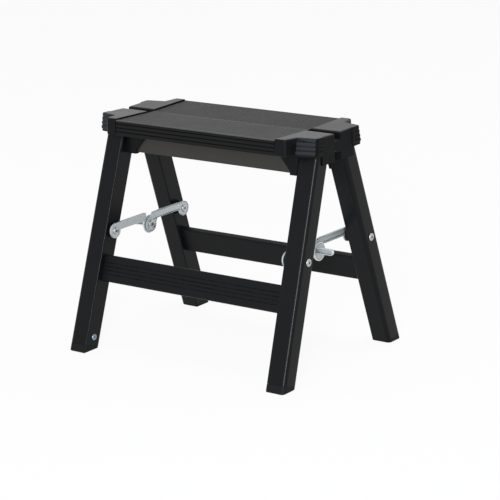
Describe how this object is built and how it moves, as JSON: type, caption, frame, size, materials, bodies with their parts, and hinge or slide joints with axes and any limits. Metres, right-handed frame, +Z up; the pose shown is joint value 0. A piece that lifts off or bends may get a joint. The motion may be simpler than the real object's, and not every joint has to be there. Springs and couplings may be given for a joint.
{
  "type": "step stool",
  "caption": "Folding step stool in black-finished aluminium: leaning box-tube legs, a split ribbed tread, moulded end caps and zinc-plated folding stays.",
  "frame": {"origin": "on the ground, below the middle of the open stool", "axes": "+Z up, +X towards the right end of the tread, -Y towards the front half"},
  "size_m": [0.3432, 0.2672, 0.3015],
  "materials": {
    "black_frame": "satin black",
    "deck": "satin black",
    "cap_plastic": "satin moulded",
    "foot_plastic": "matte moulded",
    "zinc": "bright zinc plate",
    "steel": "plain steel"
  },
  "bodies": {
    "front_frame": {"front_tread": "deck", "front_rail": "black_frame", "front_right_leg": "black_frame", "front_right_foot": "foot_plastic", "front_right_foot_screw": "zinc", "front_right_cap_rivet": "cap_plastic", "front_right_end_cap": "cap_plastic", "front_right_beam_rivet": "steel", "front_right_stay_rivet": "zinc", "front_right_stay_spacer": "zinc", "front_left_leg": "black_frame", "front_left_foot": "foot_plastic", "front_left_foot_screw": "zinc", "front_left_cap_rivet": "cap_plastic", "front_left_end_cap": "cap_plastic", "front_left_beam_rivet": "steel", "front_left_stay_rivet": "zinc", "front_left_stay_spacer": "zinc", "right_hinge_pin": "steel", "right_hinge_clip": "steel", "left_hinge_pin": "steel", "left_hinge_clip": "steel"},
    "rear_frame": {"rear_tread": "deck", "rear_rail": "black_frame", "rear_right_leg": "black_frame", "rear_right_foot": "foot_plastic", "rear_right_foot_screw": "zinc", "rear_right_cap_rivet": "cap_plastic", "rear_right_end_cap": "cap_plastic", "rear_right_beam_rivet": "steel", "rear_right_stay_rivet": "zinc", "rear_right_stay_spacer": "zinc", "rear_left_leg": "black_frame", "rear_left_foot": "foot_plastic", "rear_left_foot_screw": "zinc", "rear_left_cap_rivet": "cap_plastic", "rear_left_end_cap": "cap_plastic", "rear_left_beam_rivet": "steel", "rear_left_stay_rivet": "zinc", "rear_left_stay_spacer": "zinc"},
    "right_front_link": {"right_front_link": "zinc", "right_knuckle_tail": "zinc"},
    "right_rear_link": {"right_rear_link": "zinc", "right_knuckle_rivet": "zinc", "right_knuckle_washer": "zinc"},
    "left_front_link": {"left_front_link": "zinc", "left_knuckle_tail": "zinc"},
    "left_rear_link": {"left_rear_link": "zinc", "left_knuckle_rivet": "zinc", "left_knuckle_washer": "zinc"}
  },
  "joints": [
    {"name": "fold", "type": "hinge", "parent": "front_frame", "child": "rear_frame", "pos_m": [0, 0, 0.283], "axis": [-1, 0, 0], "range_deg": [0, 36.66]},
    {"name": "right_front_stay", "type": "hinge", "parent": "front_frame", "child": "right_front_link", "pos_m": [0.13653, -0.06971, 0.1515], "axis": [1, 0, 0], "range_deg": [0, 56.3]},
    {"name": "right_rear_stay", "type": "hinge", "parent": "rear_frame", "child": "right_rear_link", "pos_m": [0.13293, 0.06971, 0.1515], "axis": [-1, 0, 0], "range_deg": [0, 56.3]},
    {"name": "left_front_stay", "type": "hinge", "parent": "front_frame", "child": "left_front_link", "pos_m": [-0.13653, -0.06971, 0.1515], "axis": [1, 0, 0], "range_deg": [0, 56.3]},
    {"name": "left_rear_stay", "type": "hinge", "parent": "rear_frame", "child": "left_rear_link", "pos_m": [-0.13293, 0.06971, 0.1515], "axis": [-1, 0, 0], "range_deg": [0, 56.3]}
  ],
  "couplings": [
    {"joint": "right_front_stay", "follows": "fold", "ratio": 1.5339},
    {"joint": "right_rear_stay", "follows": "fold", "ratio": 1.5339},
    {"joint": "left_front_stay", "follows": "fold", "ratio": 1.5339},
    {"joint": "left_rear_stay", "follows": "fold", "ratio": 1.5339}
  ]
}
